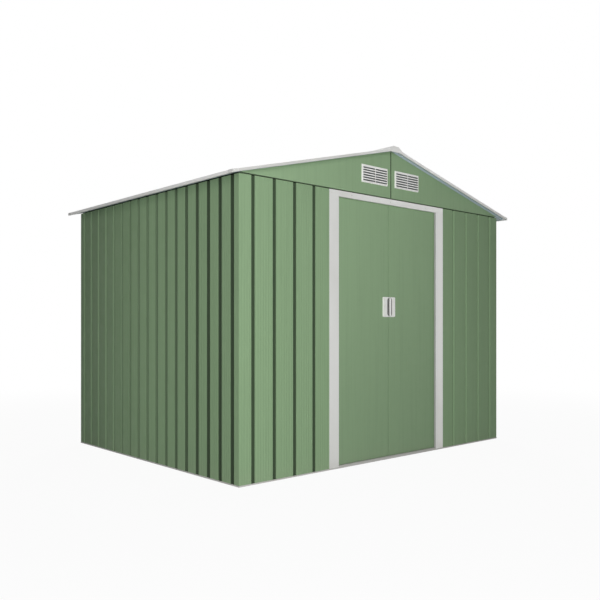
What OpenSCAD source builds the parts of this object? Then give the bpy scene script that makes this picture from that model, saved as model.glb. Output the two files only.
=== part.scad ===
// Gable-roof garden shed of ribbed steel sheet with two sliding doors.
// Origin on the ground under the middle of the base frame, +X to the right seen
// from the front, +Y towards the back, +Z up. Millimetres.

/* [Footprint] */
// Width of the base frame across the front
base_w = 2460; // [2000:10:3200]
// Depth of the base frame from front to back
base_d = 1930; // [1500:10:3000]
// Reach of the roof beyond the base frame on the left and right
eave_overhang = 75; // [60:1:140]
// Reach of the roof beyond the base frame at the front and back
verge_overhang = 45; // [30:1:120]

/* [Heights] */
// Height of the eave trims' lower edge
eave_h = 1670; // [1400:5:2000]
// Rise of the ridge cap's flat top over the eave trims' lower edge
roof_rise = 350; // [290:5:700]
// Rise of the ridge cap's top above the apex of the roof's underside
ridge_rise = 24; // [20:1:60]
// Drop of the eave trims below the roof's underside
eave_drop = 2; // [2:0.5:30]

/* [Ribbed sheet] */
// Thickness of the wall, gable, roof and door sheet
sheet_t = 0.8; // [0.5:0.1:1.2]
// Distance between neighbouring grooves on the sides, and between the roof's ribs
rib_pitch = 113; // [80:1:180]
// Distance between neighbouring grooves on the front and back
front_pitch = 151; // [80:1:200]
// Least distance from a wall's corner to its first groove's middle
rib_edge_min = 50; // [40:1:60]
// Width of a groove at the sheet's face
groove_mouth = 26; // [20:0.5:36]
// Width of a groove at its floor
groove_floor = 18; // [8:0.5:19]
// Depth of a groove
groove_d = 12; // [6:0.5:13]
// Gap under the gables' lower edge, above the wall sheets
joint_gap = 6.5; // [2:0.5:10]

/* [Base frame] */
// Thickness of the rails
rail_t = 1.2; // [0.8:0.1:2]
// Height of the rails' outer lip
lip_h = 8; // [5:1:15]
// Width of the rails' bottom flange
flange_w = 60; // [52:1:90]
// Height of the upstand behind the wall sheets
upstand_h = 35; // [20:1:60]
// Height of the two upstands of the door rail
sill_h = 16; // [15:1:20]
// Radius of the anchor holes in the side rails
anchor_r = 4.5; // [3:0.5:6]
// Distance of an anchor hole from the end of its side rail
anchor_end = 165; // [100:5:600]
// Distance of the anchor holes from the rail's outer face
anchor_inset = 38; // [30:1:44]

/* [Doorway] */
// Width of the opening between the jambs
opening_w = 950; // [700:10:1100]
// Height of the eave trims' lower edge over the head of the doorway
head_clear = 22; // [10:1:120]
// Width of a jamb's face
jamb_w = 80; // [50:1:120]
// Thickness of the jambs and the header
jamb_t = 1.2; // [0.8:0.1:1.4]
// Width of a jamb's back lip
jamb_lip = 12; // [6:1:16]

/* [Doors] */
// Depth of a door leaf from face to back
leaf_d = 22; // [16:1:30]
// Reach of a leaf behind its jamb
leaf_lap = 22; // [10:1:40]
// Gap between the two leaves
meet_gap = 5; // [5:0.5:10]
// Width of a leaf's back lips
leaf_lip = 14; // [8:1:25]
// Height of the three braces inside a leaf
brace_h = 45; // [40:1:70]
// Running gap of the hangers and guides
run_gap = 0.3; // [0.2:0.1:0.6]
// Clear gap between moving and fixed pieces
clear_gap = 5.2; // [5:0.1:8]
// Length of a hanger and of a guide
runner_l = 60; // [40:1:90]
// Height of the door track
track_h = 42; // [36:1:60]
// Width of the door track's running lip
track_lip = 14; // [10:1:20]

/* [Handles] */
// Width of a handle
handle_w = 52; // [40:1:70]
// Height of a handle
handle_h = 130; // [100:1:180]
// Projection of a handle from the door's face
handle_d = 14; // [10:1:16]
// Height of the handles' middle above the ground
handle_z = 985; // [800:5:1200]
// Height of a handle's rim over and under its finger hollow
handle_rim = 5; // [4:0.5:16]
// Depth of the finger hollow
hollow_d = 6; // [5:0.5:7]

/* [Gables and vents] */
// Projection of the gables beyond the wall sheets
gable_proud = 3; // [2:0.5:8]
// Depth of the gables' folded edges
gable_fold = 25; // [15:1:40]
// Gap of the seam between the gable halves
gable_seam = 8; // [1:0.5:10]
// Width of the post behind the gable's seam
post_w = 60; // [40:1:68]
// Width of a vent
vent_w = 240; // [160:2:260]
// Height of a vent
vent_h = 112; // [80:2:120]
// Thickness of a vent's plate
vent_t = 7; // [5:0.5:12]
// Width of a vent's rim
vent_rim = 9; // [6:1:16]
// Width of the bar between a vent's two columns of slots
vent_bar = 5; // [3:1:12]
// Distance from the gable's seam to a vent
vent_side = 37; // [34:1:80]
// Height of the vents above the gable's lower edge
vent_up = 72; // [40:1:90]
// Slots in each of a vent's two columns
vent_rows = 6; // [4:1:8]

/* [Roof] */
// Thickness of the trims
trim_t = 1; // [0.8:0.1:1.4]
// Width of the trims' top flanges
trim_flange = 40; // [38:1:60]
// Drop of the verge trims below the roof's underside
verge_drop = 1.5; // [1.5:0.5:6]
// Width of the ridge cap's flat top
ridge_top_w = 50; // [30:1:70]
// Width of the ridge cap's raised part at its foot
ridge_foot_w = 120; // [100:1:140]
// Width of the ridge cap over its wings
ridge_cap_w = 240; // [180:2:320]
// Thickness of the moulded end caps
cap_t = 2; // [1.5:0.1:3]
// Drop of the ridge end caps below the apex of the roof's underside
cap_drop = 14; // [8:1:18]
// Length of a corner cap along each trim
cap_l = 40; // [30:1:60]
// Width of the purlins and rails inside
beam_w = 36; // [30:1:60]
// Height of the purlins and rails inside
beam_h = 42; // [34:1:60]
// Height of the middle rails above the ground
mid_rail_z = 835; // [600:5:1000]

/* [Hidden] */
GREEN = [0.49, 0.61, 0.47];
LIGHT_GREY = [0.79, 0.79, 0.78];
BARE_STEEL = [0.62, 0.66, 0.68];
WHITE = [0.86, 0.86, 0.85];
$fn = 48;
// Gap between a seated edge and its neighbour
seat = 0.3;
// Gap at the end of a lapped sheet
lap_clear = 0.6;
// Gap between sloping pieces that lie on each other
slip = 0.02;
// Depth of the lapped sheets behind the wall's face, where the inside rails start
sheet_d = groove_d + 2 * sheet_t;
wall_inset = rail_t + seat;
crest_x = base_w / 2 - wall_inset;
crest_y = base_d / 2 - wall_inset;
// Walls in order: front, right, back, left
wall_at = [crest_y, crest_x, crest_y, crest_x];
wall_run = [2 * crest_x, 2 * crest_y, 2 * crest_x, 2 * crest_y];
wall_pitch = [front_pitch, rib_pitch, front_pitch, rib_pitch];
anchor_span = base_d - 2 * anchor_end;
// Roof slope, and the height where its underside meets the base frame's outline
ridge_h = eave_h + roof_rise;
roof_w = base_w + 2 * eave_overhang;
roof_d = base_d + 2 * verge_overhang;
roof_tan = (ridge_h - ridge_rise - eave_h - eave_drop) / (roof_w / 2);
roof_a = atan(roof_tan);
joint_h = eave_h + eave_drop + eave_overhang * roof_tan;
wall_top = joint_h - joint_gap;
function under_z(x) = joint_h + (base_w / 2 - x) * roof_tan;
function over_z(x, w) = under_z(x) + w / cos(roof_a);
// Sheet folds
side_run = (groove_mouth - groove_floor) / 2;
fold_shift = sheet_t * tan(atan2(groove_d, side_run) / 2);
lap_run = (groove_d + sheet_t) * side_run / groove_d;
// Door leaf, measured inwards from the wall's face
leaf_u = sheet_d + rail_t + clear_gap;
leaf_back = leaf_u + leaf_d;
leaf_w = opening_w / 2 + leaf_lap - meet_gap / 2;
// Reach of the leaf's foot below the top of the sill's upstands
leaf_dip = 2;
leaf_z = sill_h - leaf_dip;
leaf_top = joint_h - rail_t - 2 * clear_gap;
door_rail_u = leaf_back + clear_gap;
// Door track and hangers
hanger_t = 6;
hanger_arm = 8;
hanger_drop = 30;
track_u = leaf_back + hanger_t + 2 * clear_gap + track_lip;
track_z = joint_h - track_h;
// Opening, and the distance of the front sheets' edges from it
sill_top = sill_h + rail_t;
opening_h = eave_h - head_clear;
sheet_tuck = 20;
jamb_edge = opening_w / 2 + jamb_w + groove_mouth;
// Gables
gable_y = crest_y + gable_proud;
// Height of a gable's outer end
gable_toe = 4;
gable_x = base_w / 2 - gable_toe / roof_tan;
fold_z = sheet_t / cos(roof_a);
beam_t = 1.5;
// Vent plates: flange, step behind the rim, open share of a row and rise of the slots
vent_flange = 2;
vent_step = 3;
slot_share = 0.42;
slot_tilt = 35;
// Handles: corner radius and thickness of the base plate, the hollow's share of the width
// and the share of the hollow's width that its far corners are rounded by
handle_r = 6;
handle_plate = 3;
hollow_share = 0.4;
hollow_round = 0.9;
// Roof sheets and trims
hem = 8;
verge_y = roof_d / 2 - cap_t;
eave_x = roof_w / 2 - cap_t;
roof_edge = verge_y - trim_t - seat;
rib_inset = (trim_flange + hem) / 2;
roof_ribs = round(2 * (roof_edge - rib_inset) / rib_pitch);
roof_pitch = 2 * (roof_edge - rib_inset) / roof_ribs;
roof_lap = floor(roof_ribs / 2);
slope_l = (eave_x - trim_t - seat - sheet_d * sin(roof_a)) / cos(roof_a);
verge_w = groove_d + sheet_t + 2 * slip;
eave_w = sheet_d + 2 * slip;

// Places a wall's own frame: x along the wall, y inwards from its face
module on_wall(side) {
    rotate([0, 0, 90 * side]) translate([0, -wall_at[side], 0]) children();
}

// Runs a section drawn in (inwards, up) along a wall, centred on it
module along_wall(length) {
    rotate([90, 0, 90]) linear_extrude(length, center = true) children();
}

// Extrudes an elevation drawn in (x, z) from y to y + depth
module elevation(y, depth) {
    translate([0, y + depth, 0]) rotate([90, 0, 0]) linear_extrude(depth) children();
}

module both_sides() {
    children();
    mirror([1, 0, 0]) children();
}

module both_ends() {
    children();
    mirror([0, 1, 0]) children();
}

// Grooves of a wall, counted from its left end seen from outside
function groove_count(side) = floor((wall_run[side] - 2 * rib_edge_min) / wall_pitch[side]) + 1;
function groove_edge(side) = (wall_run[side] - (groove_count(side) - 1) * wall_pitch[side]) / 2;
function groove_at(side, i) = groove_edge(side) - wall_run[side] / 2 + i * wall_pitch[side];
function middle_groove(side) = floor((groove_count(side) - 1) / 2);

// One groove in the sheet, and the laps at a sheet's left and right ends
function groove_front(c) = [
    [c - groove_mouth / 2, 0],
    [c - groove_floor / 2, groove_d],
    [c + groove_floor / 2, groove_d],
    [c + groove_mouth / 2, 0]
];
function groove_rear(c) = [
    [c + groove_mouth / 2 + fold_shift, sheet_t],
    [c + groove_floor / 2 + fold_shift, groove_d + sheet_t],
    [c - groove_floor / 2 - fold_shift, groove_d + sheet_t],
    [c - groove_mouth / 2 - fold_shift, sheet_t]
];
function left_lap_front(c) = [
    [c - groove_floor / 2, groove_d + sheet_t],
    [c + groove_mouth / 2 - lap_run, groove_d + sheet_t],
    [c + groove_mouth / 2, 0]
];
function left_lap_rear(c) = [
    [c + groove_mouth / 2 + fold_shift, sheet_t],
    [c + groove_mouth / 2 + fold_shift - lap_run, sheet_d],
    [c - groove_floor / 2, sheet_d]
];
function right_lap_front(c) = [
    [c - groove_mouth / 2, 0],
    [c - groove_floor / 2, groove_d],
    [c + groove_floor / 2 - lap_clear, groove_d]
];
function right_lap_rear(c) = [
    [c + groove_floor / 2 - lap_clear, groove_d + sheet_t],
    [c - groove_floor / 2 - fold_shift, groove_d + sheet_t],
    [c - groove_mouth / 2 - fold_shift, sheet_t]
];

// Plan of a ribbed sheet: each end is a lap in a groove or a plain edge
module sheet_plan(grooves, left_lap, right_lap, left_edge, right_edge) {
    front = concat(
        is_undef(left_lap) ? [[left_edge, 0]] : left_lap_front(left_lap),
        [for (c = grooves) each groove_front(c)],
        is_undef(right_lap) ? [[right_edge, 0]] : right_lap_front(right_lap)
    );
    rear = concat(
        is_undef(right_lap) ? [[right_edge, sheet_t]] : right_lap_rear(right_lap),
        [for (i = [len(grooves) - 1:-1:0]) each groove_rear(grooves[i])],
        is_undef(left_lap) ? [[left_edge, sheet_t]] : left_lap_rear(left_lap)
    );
    polygon(concat(front, rear));
}

// Stands a sheet's plan on the base rails, up to the gap under the gables
module standing_sheet() {
    translate([0, 0, rail_t]) linear_extrude(wall_top - rail_t) children();
}

// Wall sheet between two of a wall's grooves
module wall_sheet(side, first, last) {
    color(GREEN) on_wall(side) standing_sheet() sheet_plan(
        [for (i = [first + 1:1:last - 1]) groove_at(side, i)],
        left_lap = groove_at(side, first),
        right_lap = groove_at(side, last)
    );
}

// Base rail with an outer lip and an upstand that the wall sheets stand between
module base_rail_section() {
    polygon([
        [-wall_inset, 0],
        [flange_w - wall_inset, 0],
        [flange_w - wall_inset, rail_t],
        [sheet_d + rail_t, rail_t],
        [sheet_d + rail_t, upstand_h],
        [sheet_d, upstand_h],
        [sheet_d, rail_t],
        [rail_t - wall_inset, rail_t],
        [rail_t - wall_inset, lip_h],
        [-wall_inset, lip_h]
    ]);
}

// The front rail's second upstand makes the lower guide of the doors
module door_rail_section() {
    polygon([
        [-wall_inset, 0],
        [door_rail_u + rail_t, 0],
        [door_rail_u + rail_t, sill_h],
        [door_rail_u, sill_h],
        [door_rail_u, rail_t],
        [sheet_d + rail_t, rail_t],
        [sheet_d + rail_t, sill_h],
        [sheet_d, sill_h],
        [sheet_d, rail_t],
        [rail_t - wall_inset, rail_t],
        [rail_t - wall_inset, lip_h],
        [-wall_inset, lip_h]
    ]);
}

// Rail of one side, mitred at both corners
module base_rail(side) {
    outer = wall_run[side] / 2 + wall_inset;
    inner = outer - door_rail_u - flange_w;
    color(LIGHT_GREY) on_wall(side) intersection() {
        along_wall(2 * outer) children();
        linear_extrude(upstand_h + sill_h) polygon([
            [-outer, -wall_inset],
            [outer, -wall_inset],
            [inner, outer - inner - wall_inset],
            [-inner, outer - inner - wall_inset]
        ]);
    }
}

module side_base_rail(side) {
    difference() {
        base_rail(side) base_rail_section();
        on_wall(side) for (s = [-anchor_span / 2, anchor_span / 2])
            translate([s, anchor_inset - wall_inset, -rail_t]) cylinder(r = anchor_r, h = 3 * rail_t);
    }
}

// Threshold strip over the front rail between the jambs
module door_sill() {
    color(LIGHT_GREY) on_wall(0) along_wall(opening_w - 2 * seat) polygon([
        [-wall_inset, lip_h],
        [rail_t - wall_inset, lip_h],
        [rail_t - wall_inset, sill_h],
        [sheet_d + rail_t, sill_h],
        [sheet_d + rail_t, sill_top],
        [-wall_inset, sill_top]
    ]);
}

// Corner sheet, bent round the left end of a wall and lapped into a groove of both walls
module corner_sheet(side) {
    ahead = groove_edge(side);
    behind = groove_edge((side + 3) % 4);
    turn = [for (p = left_lap_front(0)) [p[1], behind - p[0]]];
    turn_rear = [for (p = left_lap_rear(0)) [p[1], behind - p[0]]];
    color(GREEN) on_wall(side) translate([-wall_run[side] / 2, 0, 0]) standing_sheet() polygon(concat(
        turn,
        [[0, 0]],
        right_lap_front(ahead),
        right_lap_rear(ahead),
        [[sheet_t, sheet_t]],
        turn_rear
    ));
}

// Front sheets, tucked behind the jambs
front_grooves = [for (i = [1:groove_count(0) - 2]) groove_at(0, i)];

module front_wall_left() {
    color(GREEN) on_wall(0) standing_sheet() sheet_plan(
        [for (c = front_grooves) if (c < -jamb_edge) c],
        left_lap = groove_at(0, 0),
        right_edge = -opening_w / 2 - sheet_tuck
    );
}

module front_wall_right() {
    color(GREEN) on_wall(0) standing_sheet() sheet_plan(
        [for (c = front_grooves) if (c > jamb_edge) c],
        right_lap = groove_at(0, groove_count(0) - 1),
        left_edge = opening_w / 2 + sheet_tuck
    );
}

// Right jamb: a face on the wall sheet, a reveal into the opening and a back lip
module jamb() {
    color(LIGHT_GREY) on_wall(0) translate([opening_w / 2, 0, lip_h])
        linear_extrude(wall_top - lip_h) polygon([
            [0, -jamb_t],
            [jamb_w, -jamb_t],
            [jamb_w, 0],
            [jamb_t, 0],
            [jamb_t, sheet_d - jamb_t],
            [jamb_lip, sheet_d - jamb_t],
            [jamb_lip, sheet_d],
            [0, sheet_d]
        ]);
}

module right_jamb() { jamb(); }

module left_jamb() { mirror([1, 0, 0]) jamb(); }

// Header between the jambs, fixed to the door track behind it
module door_header() {
    color(LIGHT_GREY) on_wall(0) along_wall(opening_w) polygon([
        [-jamb_t, opening_h],
        [sheet_d, opening_h],
        [sheet_d, opening_h + jamb_t],
        [0, opening_h + jamb_t],
        [0, wall_top - jamb_t],
        [sheet_d, wall_top - jamb_t],
        [sheet_d, wall_top],
        [-jamb_t, wall_top]
    ]);
}

// Front top rail, open below, with the lip that the door hangers run on
module door_track() {
    color(BARE_STEEL) on_wall(0) along_wall(wall_run[0] - 2 * sheet_d) polygon([
        [sheet_d, track_z],
        [sheet_d + rail_t, track_z],
        [sheet_d + rail_t, joint_h - rail_t],
        [track_u - rail_t, joint_h - rail_t],
        [track_u - rail_t, track_z + rail_t],
        [track_u - track_lip, track_z + rail_t],
        [track_u - track_lip, track_z],
        [track_u, track_z],
        [track_u, joint_h],
        [sheet_d, joint_h]
    ]);
}

// Angle rail along the top of the back wall, under the gable's folded edge
module back_top_rail() {
    color(BARE_STEEL) on_wall(2) along_wall(wall_run[2] - 2 * sheet_d) polygon([
        [sheet_d, joint_h - beam_h],
        [sheet_d + rail_t, joint_h - beam_h],
        [sheet_d + rail_t, joint_h - rail_t],
        [sheet_d + beam_w, joint_h - rail_t],
        [sheet_d + beam_w, joint_h],
        [sheet_d, joint_h]
    ]);
}

// Angle rails along the side walls, with a flange at the roof's slope
module side_top_rails() {
    rail_z = joint_h - beam_h;
    slope_t = rail_t / cos(roof_a);
    start = track_u - crest_y;
    end = crest_y - sheet_d - beam_w;
    a = crest_x - sheet_d;
    b = a - beam_w;
    color(BARE_STEEL) both_sides() elevation(start, end - start) polygon([
        [a, rail_z],
        [a, under_z(a)],
        [b, under_z(b)],
        [b, under_z(b) - slope_t],
        [a - rail_t, under_z(a - rail_t) - slope_t],
        [a - rail_t, rail_z]
    ]);
}

// Angle rails at mid height on the side and back walls
module mid_rail(length) {
    along_wall(length) polygon([
        [sheet_d, mid_rail_z],
        [sheet_d + beam_w, mid_rail_z],
        [sheet_d + beam_w, mid_rail_z + rail_t],
        [sheet_d + rail_t, mid_rail_z + rail_t],
        [sheet_d + rail_t, mid_rail_z + beam_h],
        [sheet_d, mid_rail_z + beam_h]
    ]);
}

module wall_mid_rails() {
    back_reach = sheet_d + beam_w + lap_clear;
    side_l = wall_run[1] - track_u - back_reach;
    side_shift = (track_u - back_reach) / 2;
    color(BARE_STEEL) {
        on_wall(2) mid_rail(wall_run[2] - 2 * sheet_d);
        on_wall(1) translate([side_shift, 0, 0]) mid_rail(side_l);
        on_wall(3) translate([-side_shift, 0, 0]) mid_rail(side_l);
    }
}

// Right half of the front gable: a flat sheet with folded lower and sloping edges
module gable_half() {
    seam = gable_seam / 2;
    vent_hole_w = vent_w - 2 * vent_rim;
    vent_hole_h = vent_h - 2 * vent_rim;
    module outline(x0, x1, fold, slope_fold) {
        polygon([
            [x0, joint_h + fold],
            [x1, joint_h + fold],
            [x1, under_z(x1) - slope_fold],
            [x0, under_z(x0) - slope_fold]
        ]);
    }
    color(GREEN) {
        elevation(-gable_y, sheet_t) difference() {
            outline(seam, gable_x, 0, 0);
            translate([vent_side + vent_rim, joint_h + vent_up + vent_rim])
                square([vent_hole_w, vent_hole_h]);
        }
        elevation(-gable_y, gable_fold) difference() {
            outline(seam, gable_x, 0, 0);
            outline(0, gable_x + gable_toe, sheet_t, fold_z);
        }
    }
}

module front_gable_right() { gable_half(); }

module front_gable_left() { mirror([1, 0, 0]) gable_half(); }

module back_gable_right() { mirror([0, 1, 0]) gable_half(); }

module back_gable_left() { rotate([0, 0, 180]) gable_half(); }

// Posts behind the gable seams, which the ridge beam runs between
module gable_posts() {
    foot = joint_h + sheet_t;
    top = under_z(post_w / 2) - fold_z;
    color(BARE_STEEL) both_ends() elevation(sheet_t - gable_y, beam_t)
        translate([-post_w / 2, foot]) square([post_w, top - foot]);
}

// Louvred vent plate with two columns of slots that rise inwards
module vent() {
    slot_w = (vent_w - 2 * vent_rim - vent_bar) / 2;
    row_h = (vent_h - 2 * vent_rim) / vent_rows;
    slot_h = slot_share * row_h;
    difference() {
        union() {
            elevation(-vent_t, vent_t - vent_flange) translate([vent_step, vent_step])
                square([vent_w - 2 * vent_step, vent_h - 2 * vent_step]);
            elevation(-vent_flange, vent_flange) square([vent_w, vent_h]);
        }
        for (x = [vent_rim, vent_rim + slot_w + vent_bar], row = [0:vent_rows - 1])
            translate([x, -vent_t / 2, vent_rim + (row + 0.5) * row_h])
                rotate([slot_tilt, 0, 0]) translate([0, -2 * vent_t, -slot_h / 2])
                    cube([slot_w, 4 * vent_t, slot_h]);
    }
}

module gable_vents() {
    color(WHITE) both_ends() both_sides()
        translate([vent_side, -gable_y, joint_h + vent_up]) vent();
}

// Ridge beam between the posts and a purlin under the middle of each slope
module roof_purlins() {
    beam_half = beam_w / 2;
    slope_t = beam_t / cos(roof_a);
    beam_end = gable_y - sheet_t - beam_t;
    purlin_end = gable_y - sheet_t;
    a = base_w / 4;
    b = a + beam_w;
    function top_z(x) = under_z(abs(x)) - fold_z - slip;
    beam_foot = top_z(beam_half) - beam_h;
    color(BARE_STEEL) {
        elevation(-beam_end, 2 * beam_end) polygon([
            [-beam_half, beam_foot],
            [-beam_half, top_z(beam_half)],
            [0, top_z(0)],
            [beam_half, top_z(beam_half)],
            [beam_half, beam_foot],
            [beam_half - beam_t, beam_foot],
            [beam_half - beam_t, top_z(beam_half - beam_t) - slope_t],
            [0, top_z(0) - slope_t],
            [beam_t - beam_half, top_z(beam_half - beam_t) - slope_t],
            [beam_t - beam_half, beam_foot]
        ]);
        both_sides() elevation(-purlin_end, 2 * purlin_end) polygon([
            [a, top_z(a)],
            [b, top_z(b)],
            [b, top_z(b) - slope_t],
            [a + beam_t, top_z(a + beam_t) - slope_t],
            [a + beam_t, top_z(a) - beam_h],
            [a, top_z(a) - beam_h]
        ]);
    }
}

// Roof sheet on the right slope, with its ribs standing up and running down the slope
function roof_rib(i) = rib_inset - roof_edge + i * roof_pitch;

module right_slope() {
    translate([0, 0, under_z(0)]) rotate([0, roof_a, 0]) rotate([90, 0, 90])
        translate([0, slip, 2 * seat + sheet_t]) linear_extrude(slope_l - 2 * seat - sheet_t) children();
}

module lower_lap_sheet() {
    color(GREEN) right_slope() sheet_plan(
        [for (i = [0:roof_lap - 1]) roof_rib(i)],
        right_lap = roof_rib(roof_lap),
        left_edge = -roof_edge
    );
}

module upper_lap_sheet() {
    color(GREEN) right_slope() sheet_plan(
        [for (i = [roof_lap + 1:roof_ribs]) roof_rib(i)],
        left_lap = roof_rib(roof_lap),
        right_edge = roof_edge
    );
}

module right_roof_front() { lower_lap_sheet(); }

module right_roof_back() { upper_lap_sheet(); }

module left_roof_back() { rotate([0, 0, 180]) lower_lap_sheet(); }

module left_roof_front() { rotate([0, 0, 180]) upper_lap_sheet(); }

// Ridge cap with a raised flat top and wings on the verge trims
module ridge_cap() {
    low = verge_w + trim_t + slip;
    high = low + trim_t;
    wing = ridge_cap_w / 2;
    foot = ridge_foot_w / 2;
    top = ridge_top_w / 2;
    inner = trim_t + seat;
    right = [[top, ridge_h], [foot, over_z(foot, high)], [wing, over_z(wing, high)]];
    right_in = [
        [wing, over_z(wing, low)],
        [foot - inner, over_z(foot - inner, low)],
        [top - inner, ridge_h - trim_t]
    ];
    function mirrored(points) = [for (i = [len(points) - 1:-1:0]) [-points[i][0], points[i][1]]];
    color(LIGHT_GREY) elevation(-verge_y, 2 * verge_y)
        polygon(concat(right, right_in, mirrored(right_in), mirrored(right)));
}

// Sloping band in elevation between two heights above the roof's underside
module slope_band(x0, x1, low, high) {
    polygon([
        [x0, over_z(x0, low)],
        [x1, over_z(x1, low)],
        [x1, over_z(x1, high)],
        [x0, over_z(x0, high)]
    ]);
}

// Verge trims: a face over the sheets' ends, a flange on the first rib and a hem
module verge_trims() {
    x0 = seat / 2;
    x1 = eave_x - trim_t;
    hem_x = x1 - 2 * hem;
    color(LIGHT_GREY) both_ends() both_sides() {
        elevation(-verge_y, trim_t) slope_band(x0, x1, -verge_drop, verge_w + trim_t);
        elevation(-verge_y, trim_flange) slope_band(x0, x1, verge_w, verge_w + trim_t);
        elevation(-verge_y, hem) slope_band(x0, hem_x, -verge_drop, trim_t - verge_drop);
    }
}

// Eave trims: a face over the sheets' lower ends, a flange on the ribs and a hem
module eave_trims() {
    x0 = eave_x - trim_t;
    flange_y = verge_y - trim_flange - seat;
    color(LIGHT_GREY) both_sides() {
        elevation(-verge_y, 2 * verge_y) polygon([
            [x0, eave_h],
            [eave_x, eave_h],
            [eave_x, over_z(eave_x, eave_w + trim_t)],
            [x0, over_z(x0, eave_w + trim_t)]
        ]);
        elevation(-verge_y + 2 * trim_t, 2 * verge_y - 4 * trim_t)
            translate([x0 - hem, eave_h]) square([hem + trim_t, trim_t]);
        elevation(-flange_y, 2 * flange_y)
            slope_band(x0 - trim_flange, eave_x, eave_w, eave_w + trim_t);
    }
}

// Moulded caps over the trims at the ridge ends and the roof's corners
module roof_end_caps() {
    foot = ridge_foot_w / 2 + cap_t;
    top = ridge_top_w / 2;
    foot_z = under_z(0) - cap_drop;
    side_z = over_z(foot, verge_w + 2 * trim_t);
    high = eave_w + trim_t;
    end_y = -verge_y - cap_t;
    color(WHITE) both_ends() {
        elevation(end_y, cap_t) polygon([
            [-foot, foot_z],
            [foot, foot_z],
            [foot, side_z],
            [top, ridge_h],
            [-top, ridge_h],
            [-foot, side_z]
        ]);
        both_sides() {
            elevation(end_y, cap_t) polygon([
                [eave_x - cap_l, over_z(eave_x - cap_l, -verge_drop)],
                [eave_x, eave_h],
                [eave_x + cap_t, eave_h],
                [eave_x + cap_t, over_z(eave_x, high)],
                [eave_x - cap_l, over_z(eave_x - cap_l, high)]
            ]);
            elevation(end_y, cap_l + cap_t) translate([eave_x, eave_h])
                square([cap_t, over_z(eave_x, high) - eave_h]);
        }
    }
}

// Right door, measured outwards from its meeting edge: a folded tray of flat sheet
module at_right_door() {
    on_wall(0) translate([meet_gap / 2, 0, 0]) children();
}

module door_leaf() {
    color(GREEN) at_right_door() translate([0, 0, leaf_z]) linear_extrude(leaf_top - leaf_z) polygon([
        [0, leaf_u],
        [leaf_w, leaf_u],
        [leaf_w, leaf_back],
        [leaf_w - leaf_lip, leaf_back],
        [leaf_w - leaf_lip, leaf_back - sheet_t],
        [leaf_w - sheet_t, leaf_back - sheet_t],
        [leaf_w - sheet_t, leaf_u + sheet_t],
        [sheet_t, leaf_u + sheet_t],
        [sheet_t, leaf_back - sheet_t],
        [leaf_lip, leaf_back - sheet_t],
        [leaf_lip, leaf_back],
        [0, leaf_back]
    ]);
}

// Channels across the leaf at its foot, middle and top
module door_braces() {
    face = leaf_u + sheet_t;
    middle = (leaf_z + leaf_top - brace_h) / 2;
    color(BARE_STEEL) at_right_door() for (z = [leaf_z, middle, leaf_top - brace_h])
        translate([leaf_w / 2, 0, z]) along_wall(leaf_w - 2 * leaf_lip - 2 * seat) polygon([
            [face, 0],
            [leaf_back, 0],
            [leaf_back, brace_h],
            [face, brace_h],
            [face, brace_h - rail_t],
            [leaf_back - rail_t, brace_h - rail_t],
            [leaf_back - rail_t, rail_t],
            [face, rail_t]
        ]);
}

// Two hangers that hook over the track's lip and two guides between the sill's upstands
module door_runners() {
    arm_z = track_z + rail_t + run_gap;
    guide_h = leaf_z - rail_t - run_gap;
    runner_inset = leaf_lip + runner_l;
    color(WHITE) at_right_door() for (s = [runner_inset, leaf_w - runner_inset]) translate([s, 0, 0]) {
        along_wall(runner_l) polygon([
            [leaf_back, track_z - hanger_drop],
            [leaf_back + hanger_t, track_z - hanger_drop],
            [leaf_back + hanger_t, arm_z],
            [track_u - clear_gap, arm_z],
            [track_u - clear_gap, arm_z + hanger_arm],
            [leaf_back, arm_z + hanger_arm]
        ]);
        along_wall(runner_l) translate([sheet_d + rail_t + run_gap, leaf_z - guide_h])
            square([door_rail_u - sheet_d - rail_t - 2 * run_gap, guide_h]);
    }
}

// Pull with a D-shaped finger hollow that opens at the meeting edge
module door_handle() {
    hollow_h = handle_h - 2 * handle_rim;
    hollow_w = hollow_share * handle_w;
    module rounded(w, h, r) {
        translate([r, 0]) square([w - 2 * r, h]);
        translate([0, r]) square([w, h - 2 * r]);
        for (x = [r, w - r], z = [r, h - r])
            translate([x, z]) circle(r);
    }
    module plate(inset) {
        translate([inset, inset - handle_h / 2])
            rounded(handle_w - 2 * inset, handle_h - 2 * inset, handle_r);
    }
    color(LIGHT_GREY) at_right_door() translate([0, 0, handle_z]) difference() {
        union() {
            elevation(leaf_u - handle_plate, handle_plate) plate(0);
            elevation(leaf_u - handle_d, handle_d) plate(handle_plate / 2);
        }
        elevation(leaf_u - handle_d - hollow_d, 2 * hollow_d) translate([-hollow_w, -hollow_h / 2])
            rounded(2 * hollow_w, hollow_h, hollow_round * hollow_w);
    }
}

base_rail(0) door_rail_section();  // base_rail_front
side_base_rail(1);  // base_rail_right
base_rail(2) base_rail_section();  // base_rail_back
side_base_rail(3);  // base_rail_left
door_sill();
corner_sheet(0);  // corner_front_left
corner_sheet(1);  // corner_front_right
corner_sheet(2);  // corner_back_right
corner_sheet(3);  // corner_back_left
front_wall_left();
front_wall_right();
wall_sheet(1, 0, middle_groove(1));  // right_wall_front
wall_sheet(1, middle_groove(1), groove_count(1) - 1);  // right_wall_back
wall_sheet(2, 0, middle_groove(2));  // back_wall_right
wall_sheet(2, middle_groove(2), groove_count(2) - 1);  // back_wall_left
wall_sheet(3, 0, middle_groove(3));  // left_wall_back
wall_sheet(3, middle_groove(3), groove_count(3) - 1);  // left_wall_front
left_jamb();
right_jamb();
door_header();
door_track();
back_top_rail();
side_top_rails();
wall_mid_rails();
front_gable_left();
front_gable_right();
back_gable_left();
back_gable_right();
gable_posts();
gable_vents();
roof_purlins();
left_roof_front();
left_roof_back();
right_roof_front();
right_roof_back();
ridge_cap();
verge_trims();
eave_trims();
roof_end_caps();
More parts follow.
